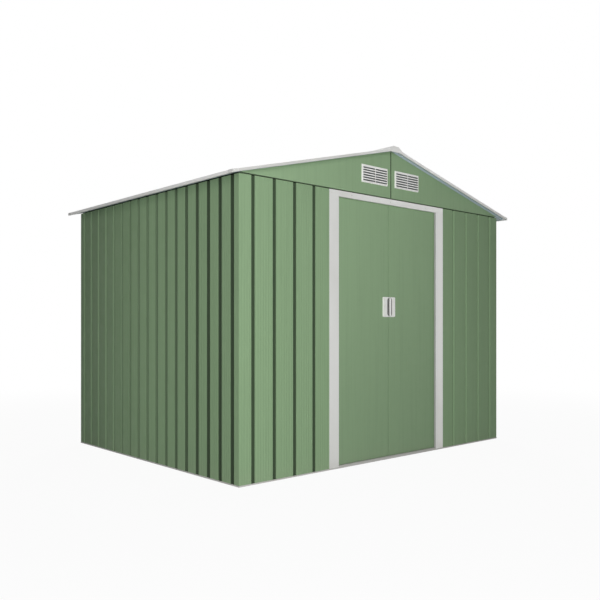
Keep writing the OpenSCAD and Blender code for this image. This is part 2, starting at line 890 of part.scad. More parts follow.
mirror([1, 0, 0]) door_leaf();  // left_door_leaf
mirror([1, 0, 0]) door_braces();  // left_door_braces
mirror([1, 0, 0]) door_runners();  // left_door_runners
mirror([1, 0, 0]) door_handle();  // left_door_handle
door_leaf();  // right_door_leaf
door_braces();  // right_door_braces
door_runners();  // right_door_runners
door_handle();  // right_door_handle
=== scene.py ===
import math

import bmesh
import bpy
from mathutils import Matrix, Vector


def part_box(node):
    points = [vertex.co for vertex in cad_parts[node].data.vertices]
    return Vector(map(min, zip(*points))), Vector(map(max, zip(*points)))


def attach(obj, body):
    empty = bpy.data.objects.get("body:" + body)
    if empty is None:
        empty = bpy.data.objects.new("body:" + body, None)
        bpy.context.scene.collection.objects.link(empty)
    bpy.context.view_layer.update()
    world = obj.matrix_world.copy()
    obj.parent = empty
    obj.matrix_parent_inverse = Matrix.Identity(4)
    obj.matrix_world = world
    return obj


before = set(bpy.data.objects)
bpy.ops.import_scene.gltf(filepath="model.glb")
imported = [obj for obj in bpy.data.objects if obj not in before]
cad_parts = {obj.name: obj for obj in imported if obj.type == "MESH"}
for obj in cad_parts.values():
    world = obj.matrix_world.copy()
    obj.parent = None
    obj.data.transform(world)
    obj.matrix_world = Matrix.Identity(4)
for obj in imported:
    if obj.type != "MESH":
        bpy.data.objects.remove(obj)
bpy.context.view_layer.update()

# Base frame: four mitred rails of grey coated steel that lie on the ground. Their outer
# lip and upstand hold the foot of the wall sheets, and the two side rails are drilled
# for ground anchors.
RAIL_GREY = (0.48, 0.48, 0.47, 1.0)
GROUND_DUST = (0.34, 0.31, 0.26, 1.0)
SPLASH_HEIGHT = 0.08
SPLASH_SHARE = 0.35


class Finish:
    """One coat of paint, metal or plastic: a material, its shader and a few words to wire it."""

    CLOUD_RANGE = (0.3, 0.7)

    def __init__(self, name):
        self.material = bpy.data.materials.new(name)
        self.material.use_nodes = True
        self.tree = self.material.node_tree
        self.tree.nodes.clear()
        self.shader = self.add("ShaderNodeBsdfPrincipled")
        self.surface = self.add("ShaderNodeOutputMaterial").inputs["Surface"]
        self.join(self.shader.outputs["BSDF"], self.surface)
        self.place = self.add("ShaderNodeTexCoord").outputs["Object"]

    def add(self, kind, **settings):
        made = self.tree.nodes.new(kind)
        for key, value in settings.items():
            setattr(made, key, value)
        return made

    def join(self, start, end):
        self.tree.links.new(start, end)

    def put(self, socket, value):
        if isinstance(value, bpy.types.NodeSocket):
            self.join(value, socket)
        else:
            socket.default_value = value

    def calc(self, operation, *values):
        made = self.add("ShaderNodeMath", operation=operation)
        for socket, value in zip(made.inputs, values):
            self.put(socket, value)
        return made.outputs[0]

    def plus(self, first, second):
        return self.calc("ADD", first, second)

    def less(self, first, second):
        return self.calc("SUBTRACT", first, second)

    def times(self, first, second):
        return self.calc("MULTIPLY", first, second)

    def larger(self, first, second):
        return self.calc("MAXIMUM", first, second)

    def above(self, value, limit):
        return self.calc("GREATER_THAN", value, limit)

    def below(self, value, limit):
        return self.calc("LESS_THAN", value, limit)

    def away(self, value):
        return self.calc("ABSOLUTE", value)

    def ramp(self, value, low, high, start=0.0, end=1.0):
        """Goes smoothly from start to end while the value goes from low to high."""
        made = self.add("ShaderNodeMapRange", interpolation_type="SMOOTHSTEP")
        numbers = {"Value": value, "From Min": low, "From Max": high,
                   "To Min": start, "To Max": end}
        for key, number in numbers.items():
            self.put(made.inputs[key], number)
        return made.outputs[0]

    def between(self, share, first, second):
        return self.ramp(share, 0.0, 1.0, first, second)

    def cloud(self, size, stretch=(1, 1, 1), detail=3.0):
        spread = self.add("ShaderNodeMapping")
        spread.inputs["Scale"].default_value = stretch
        self.join(self.place, spread.inputs["Vector"])
        made = self.add("ShaderNodeTexNoise")
        made.inputs["Scale"].default_value = 1 / size
        made.inputs["Detail"].default_value = detail
        self.join(spread.outputs[0], made.inputs["Vector"])
        return made.outputs["Fac"]

    def grain(self, size):
        return self.cloud(size, detail=1.0)

    def uneven(self, size, least, most):
        return self.ramp(self.cloud(size), *self.CLOUD_RANGE, least, most)

    def patches(self, low, high, most=1.0, **cloud):
        return self.ramp(self.cloud(**cloud), low, high, 0.0, most)

    def mixed(self, share, first, second):
        made = self.add("ShaderNodeMix", data_type="RGBA")
        for index, value in ((0, share), (6, first), (7, second)):
            self.put(made.inputs[index], value)
        return made.outputs[2]

    def split(self, vector):
        made = self.add("ShaderNodeSeparateXYZ")
        self.join(vector, made.inputs[0])
        return made.outputs

    def axes(self):
        return self.split(self.place)

    def facing(self):
        return self.split(self.add("ShaderNodeNewGeometry").outputs["True Normal"])

    def relief(self, height, distance, strength):
        made = self.add("ShaderNodeBump")
        made.inputs["Strength"].default_value = strength
        made.inputs["Distance"].default_value = distance
        self.join(height, made.inputs["Height"])
        self.join(made.outputs[0], self.shader.inputs["Normal"])

    def look(self, color, roughness, metallic=0.0, shine=0.25):
        self.put(self.shader.inputs["Base Color"], color)
        self.put(self.shader.inputs["Roughness"], roughness)
        self.put(self.shader.inputs["Metallic"], metallic)
        self.put(self.shader.inputs["Specular IOR Level"], shine)


def light_coat(coat, grey, returns_shade=None):
    worn = coat.patches(size=0.35, stretch=(1, 1, 0.4), low=0.42, high=0.72, most=0.2)
    color = coat.mixed(worn, grey, GROUND_DUST)
    if returns_shade:
        color = returns_shade(coat, color)
    splash = coat.times(coat.ramp(coat.axes()[2], SPLASH_HEIGHT, 0.0), coat.cloud(size=0.05))
    color = coat.mixed(coat.times(splash, SPLASH_SHARE), color, GROUND_DUST)
    coat.look(color, coat.uneven(size=0.03, least=0.38, most=0.52))
    coat.relief(coat.grain(size=0.004), distance=0.0001, strength=0.25)
    return coat.material


def coat_nodes(material, slot, *names):
    for name in names:
        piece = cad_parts[name]
        piece.data.materials.clear()
        piece.data.materials.append(material)


coat_nodes(light_coat(Finish("light_grey_coat"), RAIL_GREY), "light_grey_trim",
           "base_rail_front", "base_rail_right", "base_rail_back", "base_rail_left")

# Inside rails: roll-formed zinc-coated steel angles at mid height and under the eaves.
# The front one is the track that the doors hang from. Wall sheets are screwed to them,
# and a black strip painted on them over the sheets' tops is painted shade for the joint.
ZINC = (0.47, 0.49, 0.50, 1.0)
ZINC_DARK = (0.36, 0.38, 0.40, 1.0)
SPANGLES_PER_METRE = 90.0
ZINC_METAL = 0.85
ZINC_SHINE = 0.06
GAP_SHADE_BLACK = (0.012, 0.016, 0.011, 1.0)
GAP_SHADE_ROUGHNESS = 0.95
GAP_SHADE_LAP = 0.004
corner_low, corner_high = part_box("corner_front_left")


def zinc_coat(name, gap_shaded=None):
    zinc = Finish(name)
    spangle = zinc.add("ShaderNodeTexVoronoi")
    spangle.inputs["Scale"].default_value = SPANGLES_PER_METRE
    zinc.join(zinc.place, spangle.inputs["Vector"])
    flake = zinc.add("ShaderNodeSeparateColor")
    zinc.join(spangle.outputs["Color"], flake.inputs[0])
    tarnish = zinc.times(flake.outputs[0], zinc.cloud(size=0.2))
    color = zinc.mixed(tarnish, ZINC, ZINC_DARK)
    roughness = zinc.between(flake.outputs[1], first=0.36, second=0.52)
    metal = ZINC_METAL
    # Painted shade: a black strip where the zinc shows through a gap.
    if gap_shaded:
        bare = zinc.less(1.0, gap_shaded(zinc))
        color = zinc.mixed(bare, GAP_SHADE_BLACK, color)
        roughness = zinc.between(bare, GAP_SHADE_ROUGHNESS, roughness)
        metal = zinc.times(bare, metal)
    zinc.look(color, roughness, metal, ZINC_SHINE)
    zinc.relief(flake.outputs[2], distance=0.00005, strength=0.3)
    return zinc.material


def above_walls(zinc):
    return zinc.above(zinc.axes()[2], corner_high.z - GAP_SHADE_LAP)


bare_zinc = zinc_coat("zinc_coat")
coat_nodes(bare_zinc, "zinc_steel", "wall_mid_rails")
coat_nodes(zinc_coat("rail_zinc_gap_shade", above_walls), "zinc_steel",
           "door_track", "back_top_rail", "side_top_rails")

# Walls: cold-rolled steel sheet, coated sage green outside and blue-grey inside.
# Each sheet has upright grooves, laps its neighbour in one, and is screwed through
# the grooves' floors to the rails. Corner sheets are bent from the same coil.
SAGE = (0.234, 0.348, 0.200, 1.0)
SAGE_FADED = (0.246, 0.360, 0.212, 1.0)
SAGE_BLEACHED = (0.250, 0.366, 0.216, 1.0)
SAGE_SHADE = (0.020, 0.032, 0.018, 1.0)
BACKING = (0.405, 0.486, 0.525, 1.0)
TURNED_IN = -0.02
RIBBED_SHINE = 0.06
FLAT_SHINE = 0.18
FACE_X = -corner_low.x
FACE_Y = -corner_low.y
GROOVE_DEPTH = 0.012
FRONT_GROOVES = 16
FRONT_PITCH = 0.151
SIDE_GROOVES = 17
SIDE_PITCH = 0.113
FINE_RIB_PITCH = SIDE_PITCH / 6
FINE_RIB_RISE = 5.0
GRAIN_RISE = 0.4
BUCKLE_RISE = 6.0
WALL_SPLASH_HEIGHT = 0.14
WALL_SPLASH_SHARE = 0.14
# How far from the front left corner the painted shade in the grooves thins and then runs
# out, how deep in a groove it starts and is full at the corner and at the far end, and its
# shares.
GROOVE_SHADE_THINS = (0.2, 1.05)
GROOVE_SHADE_ENDS = (0.9, 1.85)
GROOVE_SHADE_STARTS_AT = (0.0004, 0.0050)
GROOVE_SHADE_FULL_AT = (0.0050, 0.0125)
FRONT_GROOVE_SHADE = 0.86
SIDE_GROOVE_SHADE = (0.96, 0.61)
FAR_END_GROOVE_SHADE = 0.30
SIDE_SHADE_EDGE = (0.0165, 0.0140)
SIDE_SHADE_SPREAD = (0.93, 0.50)
# Painted shade toward the walls' ends: from its start on the front, and from mid wall on the
# sides.
FRONT_SHADE_START = 0.5
FRONT_RIGHT_SHADE = (0.05, 0.14)
BACK_END_SHADE = 0.37
FRONT_END_SHADE = 0.12
FLAT_FOOT = 0.05
FLAT_FOOT_SHADE = 0.17


# Painted shade: the grooves' floors and walls are painted dark for the shade that falls in them,
# most by the front left corner and less toward the far ends. On the side walls a band beside each
# groove is painted dark too.
def groove_painted_shade(sage, on_side, depth):
    x, y, z = sage.axes()
    from_corner = sage.plus(sage.plus(x, FACE_X), sage.plus(y, FACE_Y))
    toward_far_end = sage.ramp(from_corner, *GROOVE_SHADE_ENDS)
    start = sage.between(toward_far_end, *GROOVE_SHADE_STARTS_AT)
    full = sage.between(toward_far_end, *GROOVE_SHADE_FULL_AT)
    most = sage.between(on_side, FRONT_GROOVE_SHADE, sage.ramp(from_corner, *GROOVE_SHADE_THINS, *SIDE_GROOVE_SHADE))
    shade_in_grooves = sage.times(sage.ramp(depth, start, full), sage.between(toward_far_end, most, FAR_END_GROOVE_SHADE))
    from_groove = sage.calc("PINGPONG", y, SIDE_PITCH / 2)
    most_side_shade = sage.ramp(from_corner, *GROOVE_SHADE_THINS, *SIDE_SHADE_SPREAD)
    beside_grooves_shade = sage.times(sage.ramp(from_groove, *SIDE_SHADE_EDGE), sage.between(toward_far_end, most_side_shade, 0.0))
    return sage.larger(shade_in_grooves, sage.times(beside_grooves_shade, on_side))


# Painted shade: darker toward the right of the front wall and toward the ends of the side walls.
def end_painted_shade(sage, on_side):
    x, y, z = sage.axes()
    front = sage.ramp(x, FRONT_SHADE_START, FACE_X, *FRONT_RIGHT_SHADE)
    back_end = sage.ramp(y, 0.0, FACE_Y, 0.0, BACK_END_SHADE)
    front_end = sage.ramp(y, 0.0, -FACE_Y, 0.0, FRONT_END_SHADE)
    return sage.between(on_side, front, sage.larger(back_end, front_end))


def sage_coat(name, ribbed):
    sage = Finish(name)
    x, y, z = sage.axes()
    to_x = sage.less(FACE_X, sage.away(x))
    to_y = sage.less(FACE_Y, sage.away(y))
    on_side = sage.below(to_x, to_y)
    on_front = sage.less(1.0, on_side)
    facing = sage.facing()
    out_x = sage.times(facing[0], sage.calc("SIGN", x))
    out_y = sage.times(facing[1], sage.calc("SIGN", y))
    outward = sage.plus(sage.times(out_x, on_side), sage.times(out_y, on_front))
    inside = sage.below(outward, TURNED_IN)
    faded = sage.patches(size=0.8, stretch=(1, 1, 0.35), low=0.35, high=0.75)
    tones = (SAGE, SAGE_FADED) if ribbed else (SAGE_FADED, SAGE_BLEACHED)
    color = sage.mixed(faded, *tones)
    rain = sage.patches(size=0.012, stretch=(1, 1, 0.02), detail=4.0,
                        low=0.40, high=0.80, most=0.06)
    color = sage.mixed(rain, color, SAGE_SHADE)
    splash = sage.times(sage.ramp(z, WALL_SPLASH_HEIGHT, 0.0),
                        sage.cloud(size=0.06, stretch=(1, 1, 2)))
    color = sage.mixed(sage.times(splash, WALL_SPLASH_SHARE), color, GROUND_DUST)
    height = sage.times(sage.grain(size=0.003), GRAIN_RISE)
    if ribbed:
        # Painted shade in the grooves.
        shade_in_grooves = groove_painted_shade(sage, on_side, sage.calc("MINIMUM", to_x, to_y))
        color = sage.mixed(shade_in_grooves, color, SAGE_SHADE)
        # Painted shade toward the walls' ends.
        color = sage.mixed(end_painted_shade(sage, on_side), color, SAGE_SHADE)
        turns = sage.times(sage.plus(x, y), 2 * math.pi / FINE_RIB_PITCH)
        height = sage.plus(height, sage.times(sage.calc("SINE", turns), FINE_RIB_RISE))
    else:
        # Painted shade: the flat sheet is darker toward the bottom.
        painted_low_shade = sage.ramp(z, corner_high.z, FLAT_FOOT, 0.0, FLAT_FOOT_SHADE)
        color = sage.mixed(painted_low_shade, color, SAGE_SHADE)
        height = sage.plus(height, sage.times(sage.cloud(size=0.25), BUCKLE_RISE))
    shine = RIBBED_SHINE if ribbed else FLAT_SHINE
    roughness = sage.uneven(size=0.05, least=0.46, most=0.60)
    sage.look(sage.mixed(inside, color, BACKING), roughness, shine=shine)
    sage.relief(height, distance=0.00015, strength=0.5)
    return sage.material


ribbed_sage = sage_coat("ribbed_sage_coat", True)
coat_nodes(ribbed_sage, "green_sheet",
           "corner_front_left", "corner_front_right", "corner_back_right", "corner_back_left",
           "front_wall_left", "front_wall_right", "right_wall_front", "right_wall_back",
           "back_wall_right", "back_wall_left", "left_wall_back", "left_wall_front")


def turned(mesh, outline, steps, place):
    """Turns an outline of (radius, height) about the screw's own axis and adds it to the mesh."""
    rings = []
    for radius, height in outline:
        angles = [2 * math.pi * i / steps for i in range(steps)] if radius else [0.0]
        points = [(radius * math.cos(a), radius * math.sin(a), height) for a in angles]
        rings.append([mesh.verts.new(place @ Vector(point)) for point in points])
    for low, high in zip(rings, rings[1:]):
        for i in range(steps):
            j = (i + 1) % steps
            if len(high) == 1:
                mesh.faces.new((low[i], low[j], high[0]))
            else:
                mesh.faces.new((low[i], low[j], high[j], high[i]))


def facing_out(point, out):
    return Matrix.Translation(point) @ Vector(out).to_track_quat("Z", "Y").to_matrix().to_4x4()


def finished(name, mesh, material, body):
    data = bpy.data.meshes.new(name)
    mesh.normal_update()
    mesh.to_mesh(data)
    mesh.free()
    data.materials.append(material)
    piece = bpy.data.objects.new(name, data)
    bpy.context.scene.collection.objects.link(piece)
    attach(piece, body)


SEALING_WASHER = [(0.0068, 0.0), (0.0068, 0.0009), (0.0060, 0.0016), (0.0043, 0.0018)]
WASHER_SIDES = 14
HEX_HEAD = [(0.0043, 0.0016), (0.0043, 0.0046), (0.0036, 0.0053), (0.0, 0.0054)]
HEX_SIDES = 6
FOOT_SCREW = 0.024
MID_SCREW_RISE = 0.021
TOP_SCREW_DROP = 0.0175
JAMB_CLEARANCE = 0.026


def hex_screws(name, places, material):
    mesh = bmesh.new()
    for point, out in places:
        place = facing_out(point, out)
        turned(mesh, SEALING_WASHER, WASHER_SIDES, place)
        turned(mesh, HEX_HEAD, HEX_SIDES, place)
    finished(name, mesh, material, "shed")


def spaced(count, pitch):
    return [(i - (count - 1) / 2) * pitch for i in range(count)]


mid_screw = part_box("wall_mid_rails")[0].z + MID_SCREW_RISE
top_screw = corner_high.z - TOP_SCREW_DROP
screw_heights = (FOOT_SCREW, mid_screw, top_screw)
doorway_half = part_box("right_jamb")[1].x + JAMB_CLEARANCE
groove_x = FACE_X - GROOVE_DEPTH
groove_y = FACE_Y - GROOVE_DEPTH
wall_screw_places = []
for x in spaced(FRONT_GROOVES, FRONT_PITCH):
    wall_screw_places += [((x, groove_y, z), (0, 1, 0)) for z in screw_heights]
    if abs(x) > doorway_half:
        wall_screw_places += [((x, -groove_y, z), (0, -1, 0)) for z in (FOOT_SCREW, top_screw)]
for y in spaced(SIDE_GROOVES, SIDE_PITCH):
    for end in (-1, 1):
        wall_screw_places += [((end * groove_x, y, z), (end, 0, 0)) for z in screw_heights]
hex_screws("wall_screws", wall_screw_places, ribbed_sage)

# Doorway: jambs and header folded from light-grey coated sheet over the cut edges of
# the front wall, and a threshold strip on the front rail. Pan-head screws hold them. The
# jambs' returns carry painted shade, and painted light makes the coat paler to the right.
DOORWAY_GREY = (0.612, 0.612, 0.598, 1.0)
DOORWAY_PAINTED_LIGHT = (0.905, 0.905, 0.885, 1.0)
SILL_GREY = (0.46, 0.46, 0.445, 1.0)
RETURN_SHADE_GREY = (0.36, 0.36, 0.35, 1.0)
LIGHTENING_START = -1.0
LIGHTENING_END = 0.6
RETURN_DEPTH = 0.004
SIDE_ON = 0.5
PAN_HEAD = [(0.0036, 0.0), (0.0036, 0.0006), (0.0032, 0.0014), (0.0020, 0.0019),
            (0.0012, 0.0019), (0.0012, 0.0009), (0.0, 0.0009)]
PAN_SIDES = 12
JAMB_SCREW_INSET = 0.018
FIRST_JAMB_SCREW = 0.06
JAMB_SCREW_STEP = 0.40
JAMB_SCREWS = 4
HEADER_SCREW_STEP = 0.36
HEADER_SCREWS = 3
jamb_low, jamb_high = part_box("right_jamb")


# Painted shade: the jambs' returns that face sideways are painted darker.
def shaded_returns(coat, color):
    at_return = coat.below(coat.away(coat.axes()[0]), jamb_low.x + RETURN_DEPTH)
    side_on = coat.above(coat.away(coat.facing()[0]), SIDE_ON)
    return coat.mixed(coat.times(at_return, side_on), color, RETURN_SHADE_GREY)


# Painted light: the coat is painted paler toward the right.
def lighter_toward_right(coat, tone, pale):
    return coat.mixed(coat.ramp(coat.axes()[0], LIGHTENING_START, LIGHTENING_END), tone, pale)


doorway_coat = Finish("doorway_grey_coat")
doorway_tone = lighter_toward_right(doorway_coat, DOORWAY_GREY, DOORWAY_PAINTED_LIGHT)
doorway_grey = light_coat(doorway_coat, doorway_tone, shaded_returns)
coat_nodes(doorway_grey, "light_grey_trim", "left_jamb", "right_jamb", "door_header")
coat_nodes(light_coat(Finish("sill_grey_coat"), SILL_GREY), "light_grey_trim", "door_sill")


def pan_screws(name, places, material, body):
    mesh = bmesh.new()
    for point, out in places:
        turned(mesh, PAN_HEAD, PAN_SIDES, facing_out(point, out))
    finished(name, mesh, material, body)


header_low, header_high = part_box("door_header")
header_middle = (header_low.z + header_high.z) / 2
jamb_screw_x = jamb_high.x - JAMB_SCREW_INSET
jamb_heights = [FIRST_JAMB_SCREW + i * JAMB_SCREW_STEP for i in range(JAMB_SCREWS)]
doorway_places = [((side * jamb_screw_x, jamb_low.y, z), (0, -1, 0))
                  for side in (-1, 1) for z in jamb_heights + [header_middle]]
doorway_places += [((x, header_low.y, header_middle), (0, -1, 0))
                   for x in spaced(HEADER_SCREWS, HEADER_SCREW_STEP)]
pan_screws("doorway_screws", doorway_places, doorway_grey, "shed")

# Gables: two flat sheets of the sage coil over each end wall, folded at their edges and
# screwed to a zinc post behind the seam, painted black there as painted shade in the seam.
# Two louvred plastic vents sit in each.
WHITE_PLASTIC = (0.86, 0.86, 0.84, 1.0)
LOUVRE_SHADE = (0.010, 0.010, 0.011, 1.0)
LOUVRE_FRONT = 0.0004
LOUVRE_BACK = 0.0024
VENT_RIM = 0.0086
VENT_SIDE = 0.037
SEAM_SHADE_HALF = 0.008
SEAM_SCREW = 0.019
FIRST_SEAM_SCREW = 0.04
SEAM_SCREW_STEP = 0.09
SEAM_SCREWS = 3

flat_sage = sage_coat("flat_sage_coat", False)
coat_nodes(flat_sage, "green_sheet",
           "front_gable_left", "front_gable_right", "back_gable_left", "back_gable_right")


# Painted shade: the post is black where it shows through the seam.
def shade_behind_seam(zinc):
    return zinc.below(zinc.away(zinc.axes()[0]), SEAM_SHADE_HALF)


coat_nodes(zinc_coat("post_zinc_gap_shade", shade_behind_seam), "zinc_steel", "gable_posts")


def moulded_plastic(plastic, tone, shaded=None):
    dull = plastic.patches(size=0.08, low=0.40, high=0.70, most=0.1)
    color = plastic.mixed(dull, tone, GROUND_DUST)
    if shaded:
        color = plastic.mixed(shaded(plastic), color, LOUVRE_SHADE)
    plastic.look(color, plastic.uneven(size=0.02, least=0.42, most=0.55))
    plastic.relief(plastic.grain(size=0.0015), distance=0.00008, strength=0.3)
    return plastic.material


def between_louvres(plastic):
    x, y, z = plastic.axes()
    low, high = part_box("gable_vents")
    shade = plastic.ramp(plastic.away(y), high.y - LOUVRE_FRONT, high.y - LOUVRE_BACK)
    for value, least, most in ((plastic.away(x), VENT_SIDE, high.x), (z, low.z, high.z)):
        shade = plastic.times(shade, plastic.above(value, least + VENT_RIM))
        shade = plastic.times(shade, plastic.below(value, most - VENT_RIM))
    return shade


vent_white = moulded_plastic(Finish("vent_plastic"), WHITE_PLASTIC, between_louvres)
coat_nodes(vent_white, "light_plastic", "gable_vents")
gable_low, gable_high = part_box("front_gable_right")
seam_heights = [gable_low.z + FIRST_SEAM_SCREW + i * SEAM_SCREW_STEP for i in range(SEAM_SCREWS)]
gable_places = [((side * SEAM_SCREW, end * gable_low.y, z), (0, -end, 0))
                for side in (-1, 1) for end in (-1, 1) for z in seam_heights]
pan_screws("gable_screws", gable_places, flat_sage, "shed")

# Roof: ribbed sheets of the sage coil on zinc purlins, ribs standing up and running down
# the slope, with a folded light-grey ridge cap, verge and eave trims and moulded end caps.
# Hex screws with sealing washers hold the sheets through their flat pans.
ROOF_GREY = (0.57, 0.57, 0.555, 1.0)
ROOF_PAINTED_LIGHT = (0.87, 0.87, 0.855, 1.0)
EAVE_GREY = (0.76, 0.76, 0.745, 1.0)
CAP_GREY = (0.60, 0.60, 0.585, 1.0)
CAP_PAINTED_LIGHT = (0.90, 0.90, 0.88, 1.0)
GABLE_TOE = 0.004
PAN_TOP = 0.00082
RIDGE_WING_TOP = 0.01486
ROOF_BAYS = 17
FIRST_RIB = 0.024
ROOF_SCREW_LINES = (0.16, 0.633, 1.19)
ROOF_SCREWS = 9
RIDGE_SCREW_LINE = 0.105
RIDGE_SCREW_STEP = 0.235
RIDGE_SCREWS = 9


def roof_sheet_coat():
    sage = Finish("roof_sage_coat")
    under = sage.below(sage.facing()[2], TURNED_IN)
    faded = sage.patches(size=0.6, low=0.35, high=0.75)
    color = sage.mixed(faded, SAGE, SAGE_FADED)
    rain = sage.patches(size=0.02, stretch=(0.03, 1, 0.1), detail=4.0,
                        low=0.40, high=0.80, most=0.20)
    color = sage.mixed(rain, color, SAGE_SHADE)
    roughness = sage.uneven(size=0.05, least=0.44, most=0.60)
    sage.look(sage.mixed(under, color, BACKING), roughness)
    sage.relief(sage.grain(size=0.003), distance=0.0001, strength=0.3)
    return sage.material


roof_sage = roof_sheet_coat()
coat_nodes(roof_sage, "green_sheet",
           "left_roof_front", "left_roof_back", "right_roof_front", "right_roof_back")
coat_nodes(bare_zinc, "zinc_steel", "roof_purlins")
# Painted light: the ridge cap, verge trims and end caps are painted paler toward the right.
trim_coat = Finish("roof_grey_coat")
roof_grey = light_coat(trim_coat, lighter_toward_right(trim_coat, ROOF_GREY, ROOF_PAINTED_LIGHT))
coat_nodes(roof_grey, "light_grey_trim", "ridge_cap", "verge_trims")
coat_nodes(light_coat(Finish("eave_grey_coat"), EAVE_GREY), "light_grey_trim", "eave_trims")
cap_plastic = Finish("cap_plastic")
cap_grey = moulded_plastic(cap_plastic, lighter_toward_right(cap_plastic, CAP_GREY, CAP_PAINTED_LIGHT))
coat_nodes(cap_grey, "light_plastic", "roof_end_caps")

roof_fall = (gable_high.z - gable_low.z - GABLE_TOE) / (gable_high.x - gable_low.x)
roof_apex = gable_high.z + gable_low.x * roof_fall
slope = math.hypot(1, roof_fall)
first_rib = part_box("left_roof_front")[0].y + FIRST_RIB
roof_pitch = -2 * first_rib / ROOF_BAYS
ridge_screw_z = roof_apex - RIDGE_SCREW_LINE * roof_fall + RIDGE_WING_TOP * slope
roof_places = []
ridge_places = []
for side in (-1, 1):
    up = (side * roof_fall / slope, 0, 1 / slope)
    for y in spaced(ROOF_SCREWS, 2 * roof_pitch):
        roof_places += [((side * x, y, roof_apex - x * roof_fall + PAN_TOP * slope), up)
                        for x in ROOF_SCREW_LINES]
    ridge_places += [((side * RIDGE_SCREW_LINE, y, ridge_screw_z), up)
                     for y in spaced(RIDGE_SCREWS, RIDGE_SCREW_STEP)]
hex_screws("roof_screws", roof_places, roof_sage)
pan_screws("ridge_screws", ridge_places, roof_grey, "shed")

# Doors: two folded trays of flat sage sheet with zinc channels inside. They hang from the
# track on plastic hangers, run between the front rail's upstands on plastic guides, and
# each carries a moulded pull with a finger hollow that opens at the meeting edge.
RUNNER_GREY = (0.66, 0.66, 0.645, 1.0)
PULL_GREY = (0.78, 0.78, 0.76, 1.0)
PULL_SHADE = (0.022, 0.021, 0.020, 1.0)
PULL_WALL_SHADE = (0.08, 0.077, 0.075, 1.0)
HOLLOW_PAINTED_LIGHT = (0.92, 0.92, 0.90, 1.0)
HOLLOW_SHARE = 0.4
HOLLOW_REACH = 0.026
HOLLOW_HALF_HEIGHT = 0.0605
HOLLOW_LIP = 0.0004
HOLLOW_FLOOR = 0.003
CORNER_SHADE_START = 0.0060
CORNER_SHADE_END = 0.0035
CORNER_SHADE = 0.7
PULL_DUST = 0.1
PULL_SCREW_INSET = 0.011
PULL_SCREW_STEP = 0.092
HEX_BOLT = [(0.0060, 0.0), (0.0060, 0.0038), (0.0052, 0.0044), (0.0, 0.0044)]
HANGER_PLATE = 0.006
HANGER_INSET = 0.030
HANGER_BOLT_STEP = 0.036
HANGER_BOLT_DROP = 0.0162
pull_low, pull_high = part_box("right_door_handle")
pull_z = (pull_low.z + pull_high.z) / 2
hanger_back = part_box("right_door_leaf")[1].y + HANGER_PLATE
hanger_bolt_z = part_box("door_track")[0].z - HANGER_BOLT_DROP
runner_low, runner_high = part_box("right_door_runners")


def pull_plastic():
    pull = Finish("pull_plastic")
    x, y, z = pull.axes()
    across = pull.away(x)
    rise = pull.away(pull.less(z, pull_z))
    near = pull.times(pull.below(across, HOLLOW_REACH), pull.below(rise, HOLLOW_HALF_HEIGHT))
    sunk = pull.ramp(y, pull_low.y + HOLLOW_LIP, pull_low.y + HOLLOW_FLOOR)
    hollow = pull.times(near, sunk)
    left_hollow_shade = pull.times(hollow, pull.below(x, 0.0))
    wall = pull.times(hollow, pull.above(pull.facing()[1], -SIDE_ON))
    dull = pull.patches(size=0.05, low=0.40, high=0.70)
    color = pull.mixed(pull.times(dull, PULL_DUST), PULL_GREY, GROUND_DUST)
    # Painted light on the hollows' floors, and painted shade in their inner corners, on their
    # walls and over the whole left hollow.
    color = pull.mixed(hollow, color, HOLLOW_PAINTED_LIGHT)
    hollow_edge = pull_low.x + HOLLOW_SHARE * (pull_high.x - pull_low.x)
    corner = pull.ramp(across, hollow_edge - CORNER_SHADE_START, hollow_edge - CORNER_SHADE_END,
                       0.0, CORNER_SHADE)
    color = pull.mixed(pull.times(hollow, corner), color, PULL_WALL_SHADE)
    color = pull.mixed(wall, color, PULL_WALL_SHADE)
    color = pull.mixed(left_hollow_shade, color, PULL_SHADE)
    pull.look(color, pull.uneven(size=0.02, least=0.36, most=0.48))
    pull.relief(pull.grain(size=0.0012), distance=0.00006, strength=0.3)
    return pull.material


pull_grey = pull_plastic()
runner_grey = moulded_plastic(Finish("runner_plastic"), RUNNER_GREY)
for side, door in ((-1, "left_door"), (1, "right_door")):
    coat_nodes(flat_sage, "green_sheet", door + "_leaf")
    coat_nodes(bare_zinc, "zinc_steel", door + "_braces")
    coat_nodes(runner_grey, "light_plastic", door + "_runners")
    coat_nodes(pull_grey, "light_grey_trim", door + "_handle")
    bolts = bmesh.new()
    for x in (runner_low.x + HANGER_INSET, runner_high.x - HANGER_INSET):
        for step in spaced(2, HANGER_BOLT_STEP):
            point = (side * x + step, hanger_back, hanger_bolt_z)
            turned(bolts, HEX_BOLT, HEX_SIDES, facing_out(point, (0, 1, 0)))
    finished(door + "_hanger_bolts", bolts, bare_zinc, door)
    pull_screw_x = side * (pull_high.x - PULL_SCREW_INSET)
    pull_places = [((pull_screw_x, pull_low.y, pull_z + step), (0, -1, 0))
                   for step in spaced(2, PULL_SCREW_STEP)]
    pan_screws(door + "_pull_screws", pull_places, pull_grey, door)

# Photo stage: a wide pale floor that runs out to white, one soft lamp high and one low at
# the front left, a large one behind on the right, a weak one overhead and a plain pale
# sky. Only the floor outside the walls is lifted to white.
FLOOR_HALF = 40.0
FLOOR_DROP = 0.0004
FLOOR_FADE = (2.4, 6.0)
FLOOR_WHITE = 0.95
FLOOR_GREY = (0.52, 0.52, 0.52, 1.0)
FLOOR_PALE = (0.55, 0.55, 0.55, 1.0)
FLOOR_ROUGHNESS = 0.9
WALL_FOOT = 0.02
SKY_LIGHT = 0.08
SKY_SEEN = 1.0


